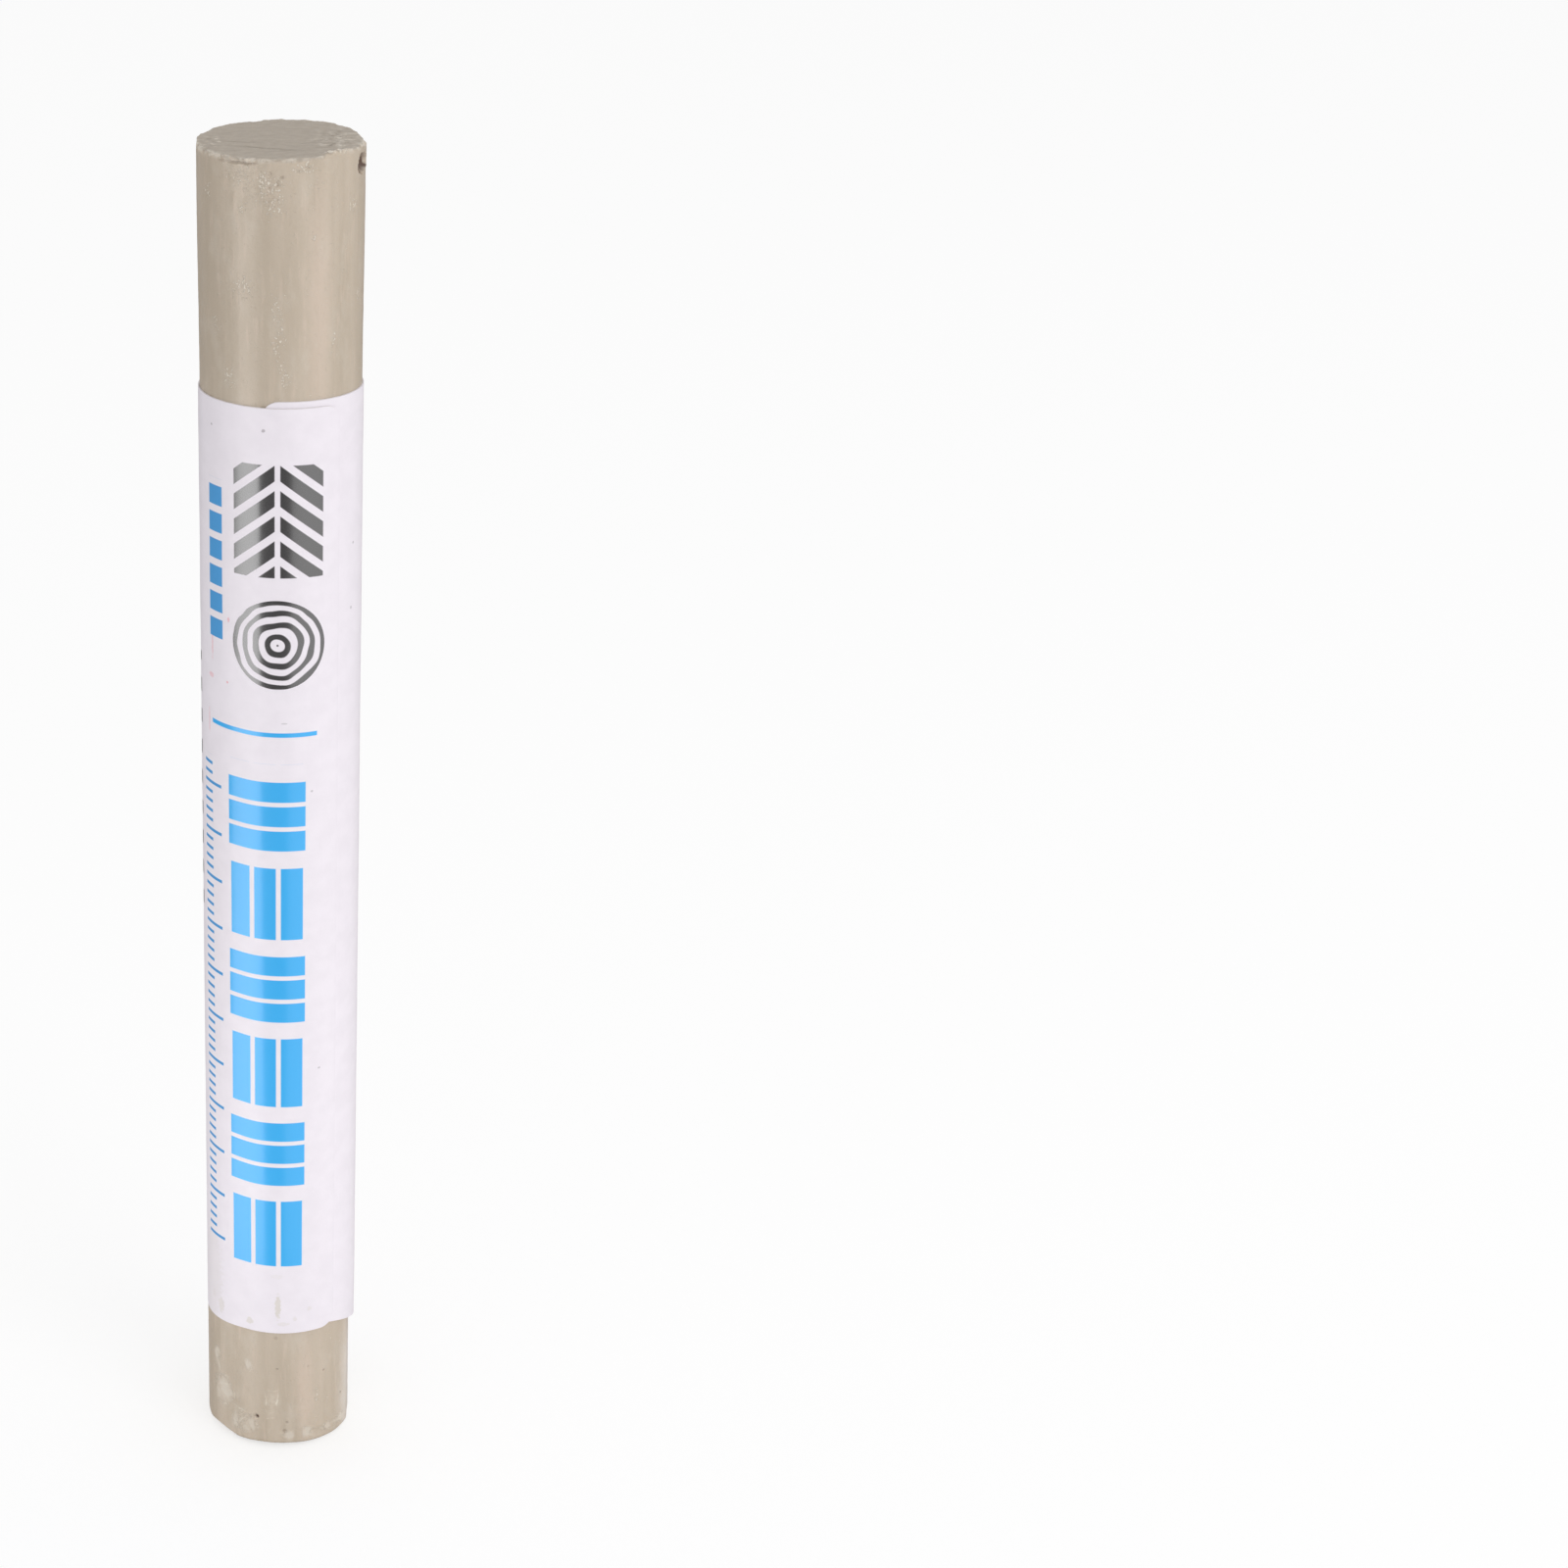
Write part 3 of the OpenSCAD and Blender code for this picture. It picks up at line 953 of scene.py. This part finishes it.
# Six basket-weave parquet tiles in blue, of three boards each, every second one turned
tile, tile_pitch, tile_count = 7.6, 9.2, 6
tiles_middle, tiles_low = -1.5, 8.0
tiles_height = tile_count * tile_pitch
boards, board_gap = 3, 0.09
board_width = tile / boards
tile_up = repeated(tree, up, tiles_low, tile_pitch)
tile_across = calc(tree, "ADD", calc(tree, "SUBTRACT", across, tiles_middle), tile / 2)
tile_number = calc(tree, "FLOOR", calc(tree, "DIVIDE", calc(tree, "SUBTRACT", up, tiles_low), tile_pitch))
tile_turned = calc(tree, "FLOORED_MODULO", tile_number, 2)
board_place = node(tree, "Mix", {0: tile_turned, 2: tile_across, 3: tile_up}, data_type="FLOAT").outputs[0]
board_half = board_width / 2
board_mask = stripes(tree, board_place, 0, board_width, board_half, board_half * (1 - 2 * board_gap))
tile_area = panel(tree, (tiles_middle, tiles_low + tiles_height / 2), (tile, tiles_height))
tile_mask = both(tree, within(tree, tile_up, tile / 2, tile / 2), tile_area)
# Plain blue rule above the tiles
rule_middle, rule_size = (-2.1, 66.2), (11, 0.45)
blue = either(tree, both(tree, board_mask, tile_mask), panel(tree, rule_middle, rule_size))

# Fine blue tick scale beside the tiles, of short and long ticks by pitch and length, and a column of
# swatches higher up
scale_low, scale_length, scale_edge = 9.5, 53, -9.2
tick_kinds, tick_half = ((1, 1.5), (5, 2.9)), 0.17
ticks = 0.0
for pitch, length in tick_kinds:
    tick_row = stripes(tree, up, scale_low, pitch, tick_half, tick_half)
    tick_row = both(tree, tick_row, within(tree, across, scale_edge + length / 2, length / 2))
    ticks = either(tree, ticks, tick_row)
ticks = both(tree, ticks, within(tree, up, scale_low + scale_length / 2, scale_length / 2))
swatch, swatch_pitch, swatch_count = 1.9, 2.6, 6
swatches_middle, swatches_low = -6.9, 74.8
swatches_height = swatch_count * swatch_pitch
swatch_area = panel(tree, (swatches_middle, swatches_low + swatches_height / 2), (swatch, swatches_height))
swatches = both(tree, stripes(tree, up, swatches_low, swatch_pitch, swatch / 2, swatch / 2), swatch_area)
fine_blue = either(tree, ticks, swatches)

# Block of black chevron boards, over the wavy growth rings of a log end
ring_middle, ring_reach, ring_pitch = (-0.3, 75.2), 4.4, 1.1
ring_line, ring_line_half = 0.3, 0.27
ring_noise, ring_waver = (0.35, 1), 0.9
ring_distance = oval(tree, across, up, *ring_middle, 1, 1)
wavy_distance = scaled(tree, lumps(tree, sheet, *ring_noise), ring_waver, ring_distance)
rings = both(tree, stripes(tree, wavy_distance, 0, ring_pitch, ring_line, ring_line_half),
             calc(tree, "LESS_THAN", ring_distance, ring_reach))
chevron_middle, chevron_size, chevron_pitch = (-0.3, 87.2), (8.4, 10.8), 2.4
chevron_line, chevron_line_half, chevron_slope = 0.85, 0.75, 0.8
spine_half = 0.25
off_spine = calc(tree, "ABSOLUTE", calc(tree, "SUBTRACT", across, chevron_middle[0]))
chevron_rise = scaled(tree, off_spine, chevron_slope, up)
chevrons = both(tree, stripes(tree, chevron_rise, 0, chevron_pitch, chevron_line, chevron_line_half),
                panel(tree, chevron_middle, chevron_size))
beside_spine = calc(tree, "SUBTRACT", 1.0, within(tree, across, chevron_middle[0], spine_half))
black = either(tree, rings, both(tree, chevrons, beside_spine))
# Plain dark squares on the side of the label
squares_low, square_pitch, square_line, square_half = 10, 3.2, 1, 0.7
squares_middle, squares_size = (-11.6, 58), (2.0, 28)
squares = both(tree, stripes(tree, up, squares_low, square_pitch, square_line, square_half),
               panel(tree, squares_middle, squares_size))
black = either(tree, black, squares)

# Specks, pink ink stains and smears of wax: place across and up, half width, half height and strength
specks = (
    (-1.55, 95.8, 0.22, 0.2, 0.5), (-7.3, 95.4, 0.14, 0.14, 0.5), (-39.4, 77.1, 0.16, 0.2, 0.4),
    (-39.1, 83.4, 0.14, 0.16, 0.4), (2.9, 60.3, 0.16, 0.16, 0.35), (3.8, 30.4, 0.18, 0.16, 0.35),
    (0.3, 67.4, 0.35, 0.12, 0.25), (-20, 40, 0.2, 0.2, 0.4), (-27, 70, 0.2, 0.15, 0.4),
)
pink_stains = (
    (-7.5, 74.2, 0.14, 2.4, 0.3), (-5.2, 77, 0.16, 0.3, 0.4), (-5.4, 70.7, 0.15, 0.15, 0.5),
    (-7.7, 70.8, 0.5, 0.3, 0.3), (-8.2, 66, 0.15, 1.6, 0.25), (-6.3, 78.4, 0.1, 0.6, 0.3),
)
wax_smears = (
    (-0.3, 3.2, 0.36, 1.7, 0.4), (-3.2, 1.1, 0.5, 0.45, 0.34), (-7.0, 1.8, 0.6, 1.1, 0.26),
    (2.9, 2.7, 0.3, 0.3, 0.16), (0.2, 1.1, 0.7, 0.3, 0.16), (1.4, 1.7, 0.25, 0.35, 0.16),
    (-8.4, 2.6, 0.5, 0.7, 0.2), (-9.0, 5.0, 2.6, 7.0, 0.12), (-0.4, 6.8, 0.8, 0.3, 0.08),
)
mark_noise, mark_ragged = (3.0, 3), 1.2
mark_edge, mark_core = 1.0, 0.6


def marks(tree, mark_list):
    """All of a list of soft marks on the label, with ragged edges."""
    grain = scaled(tree, lumps(tree, sheet, *mark_noise), mark_ragged, -mark_ragged / 2)
    share = 0.0
    for *place, strength in mark_list:
        off = calc(tree, "ADD", oval(tree, across, up, *place), grain)
        share = either(tree, share, both(tree, fade(tree, off, mark_edge, mark_core), strength))
    return share


mottle_noise, mottle_levels = (0.5, 4), (0.3, 0.7)
smears = marks(tree, wax_smears)
layers = (
    (smears, smear_colour),
    (marks(tree, pink_stains), pink_colour),
    (marks(tree, specks), speck_colour),
    (blue, blue_ink),
    (fine_blue, fine_blue_ink),
    (black, black_ink),
)
mottle = fade(tree, lumps(tree, sheet, *mottle_noise), *mottle_levels)
colour = mixed(tree, mottle, paper_shade, paper_colour)
for share, tint in layers:
    colour = mixed(tree, share, colour, tint)
# Black ink lies on thick and glossy, blue ink thin. Relief of fibres and smears in millimetres
blue_gloss = 0.35
rough_noise, rough_gain, least_rough = (1.2, 3), 0.12, 0.36
fibre_noise, fibre_relief, smear_relief = (4.0, 4), 0.006, 0.03
relief = scaled(tree, lumps(tree, sheet, *fibre_noise), fibre_relief, both(tree, smears, smear_relief))
set_inputs(tree, shader, {
    "Base Color": colour,
    "Roughness": scaled(tree, lumps(tree, sheet, *rough_noise), rough_gain, least_rough),
    "Normal": bumps(tree, relief),
    "Coat Weight": either(tree, both(tree, either(tree, blue, fine_blue), blue_gloss), black),
    "Coat Roughness": 0.22,
    "Coat IOR": 2.4,
    "Specular IOR Level": 0.3,
})
label.data.materials.append(label_finish)
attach(label, "root")
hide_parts("paper_label")

# Floor
# Plain white table under the stick, which keeps its soft shadow and runs out to a white background.
# It throws light back as white paint does, is darker in reflections, and a glow lifts it for the camera.
floor_size = 6
floor_bounce, floor_mirrored, floor_seen = 0.95, 0.2, 0.42
floor_glow = 0.63


def grey(level):
    """Plain grey for a shader."""
    return (level, level, level, 1)


def shader_mix(tree, share, first, second):
    """A second shader in place of a first, by a share."""
    return node(tree, "MixShader", {0: share, 1: first, 2: second}).outputs[0]


bpy.ops.object.select_all(action="DESELECT")
bpy.ops.mesh.primitive_plane_add(size=floor_size, location=(0, 0, 0))
floor = bpy.context.object
floor.name = "floor"
floor_finish, tree, shader = new_finish("white_table")
tree.nodes.remove(shader)
rays = node(tree, "LightPath").outputs
bounce, mirrored, seen = (
    node(tree, "BsdfDiffuse", {"Color": grey(level)}).outputs[0]
    for level in (floor_bounce, floor_mirrored, floor_seen))
glow = node(tree, "Emission", {"Strength": floor_glow}).outputs[0]
lit = node(tree, "AddShader", {0: seen, 1: glow}).outputs[0]
unseen = shader_mix(tree, rays["Is Glossy Ray"], bounce, mirrored)
surface = shader_mix(tree, rays["Is Camera Ray"], unseen, lit)
set_inputs(tree, tree.nodes["Material Output"], {"Surface": surface})
floor.data.materials.append(floor_finish)

# Studio light
# An even sky, a soft lamp at the front right, fills on each side that light the stick and not the floor, and
# two tall panels that lean away from the foot and only give a sheen.
sky_light = 0.77
sky = bpy.data.worlds.new("studio")
sky.use_nodes = True
tree = sky.node_tree
rays = node(tree, "LightPath").outputs
plain_rays = either(tree, rays["Is Camera Ray"], rays["Is Transmission Ray"])
set_inputs(tree, tree.nodes["Background"], {
    "Strength": scaled(tree, plain_rays, 1 - sky_light, sky_light),
    "Color": grey(1),
})
bpy.context.scene.world = sky
# The panels' distance from the axis at the foot and at the top, their height, and watts per square metre at
# which one is as bright as white
panel_near, panel_far, panel_top = 36 * mm, 70 * mm, 150 * mm
panel_power = 4


def soft_panel(name, from_side, to_side, brightness):
    """Tall soft light that fills a range of sides, as seen from the stick."""
    side = math.radians(from_side + to_side) / 2
    foot = outward(side) * panel_near
    top = outward(side) * panel_far + upright * panel_top
    upward = (top - foot).normalized()
    sideways = Vector((math.cos(side), math.sin(side), 0))
    width = (panel_near + panel_far) * math.tan(math.radians(to_side - from_side) / 2)
    length = (top - foot).length
    bpy.ops.object.light_add(type="AREA", location=(foot + top) / 2)
    lamp = bpy.context.object
    lamp.name = name
    lamp.data.shape = "RECTANGLE"
    lamp.data.size = width
    lamp.data.size_y = length
    lamp.data.energy = panel_power * brightness * width * length
    lamp.rotation_euler = Matrix((sideways, upward, sideways.cross(upward))).transposed().to_euler()
    lamp.visible_camera = False
    lamp.visible_diffuse = False


soft_panel("left_panel", from_side=-68, to_side=-29, brightness=1.6)
soft_panel("right_panel", from_side=13, to_side=66, brightness=0.6)


def soft_lamp(name, degrees, distance, height, aim, size, power):
    """Square soft lamp on one side of the stick, aimed at a height. It is left out of reflections."""
    place = outward(math.radians(degrees)) * distance + upright * height
    bpy.ops.object.light_add(type="AREA", location=place)
    lamp = bpy.context.object
    lamp.name = name
    lamp.data.size = size
    lamp.data.energy = power
    lamp.rotation_euler = (place - upright * aim).to_track_quat("Z", "Y").to_euler()
    lamp.visible_camera = False
    lamp.visible_glossy = False
    return lamp


soft_lamp("soft_key", degrees=42, distance=920 * mm, height=380 * mm, aim=0, size=600 * mm, power=2.1)
# Fills, with the same values in the same order
stick_only = bpy.data.collections.new("stick_only")
for piece in (wax, adhesive, label):
    stick_only.objects.link(piece)
for fill in (
        ("left_fill", -60, 84 * mm, 12 * mm, 10 * mm, 50 * mm, 0.017),
        ("right_fill", 76, 84 * mm, 14 * mm, 14 * mm, 50 * mm, 0.008),
        ("side_fill", 88, 300 * mm, 90 * mm, 80 * mm, 160 * mm, 0.05)):
    soft_lamp(*fill).light_linking.receiver_collection = stick_only

# Camera
# Stands in front of the stick and looks down on it. The stick is at the left of the frame.
camera_elevation = math.radians(23.43)
camera_distance = 300.8 * mm
target_height = 72.06 * mm
nearest_seen = 10 * mm
frame_pixels = 1600
focal_pixels = 3159.5
axis_pixel = 286.6
sensor = 36
bpy.ops.object.camera_add()
camera = bpy.context.object
away = Vector((0, -math.cos(camera_elevation), math.sin(camera_elevation)))
camera.location = upright * target_height + away * camera_distance
camera.rotation_euler = away.to_track_quat("Z", "Y").to_euler()
camera.data.sensor_width = sensor
camera.data.lens = sensor * focal_pixels / frame_pixels
camera.data.shift_x = (frame_pixels / 2 - axis_pixel) / frame_pixels
camera.data.clip_start = nearest_seen
bpy.context.scene.camera = camera
bpy.context.scene.view_settings.view_transform = "Standard"
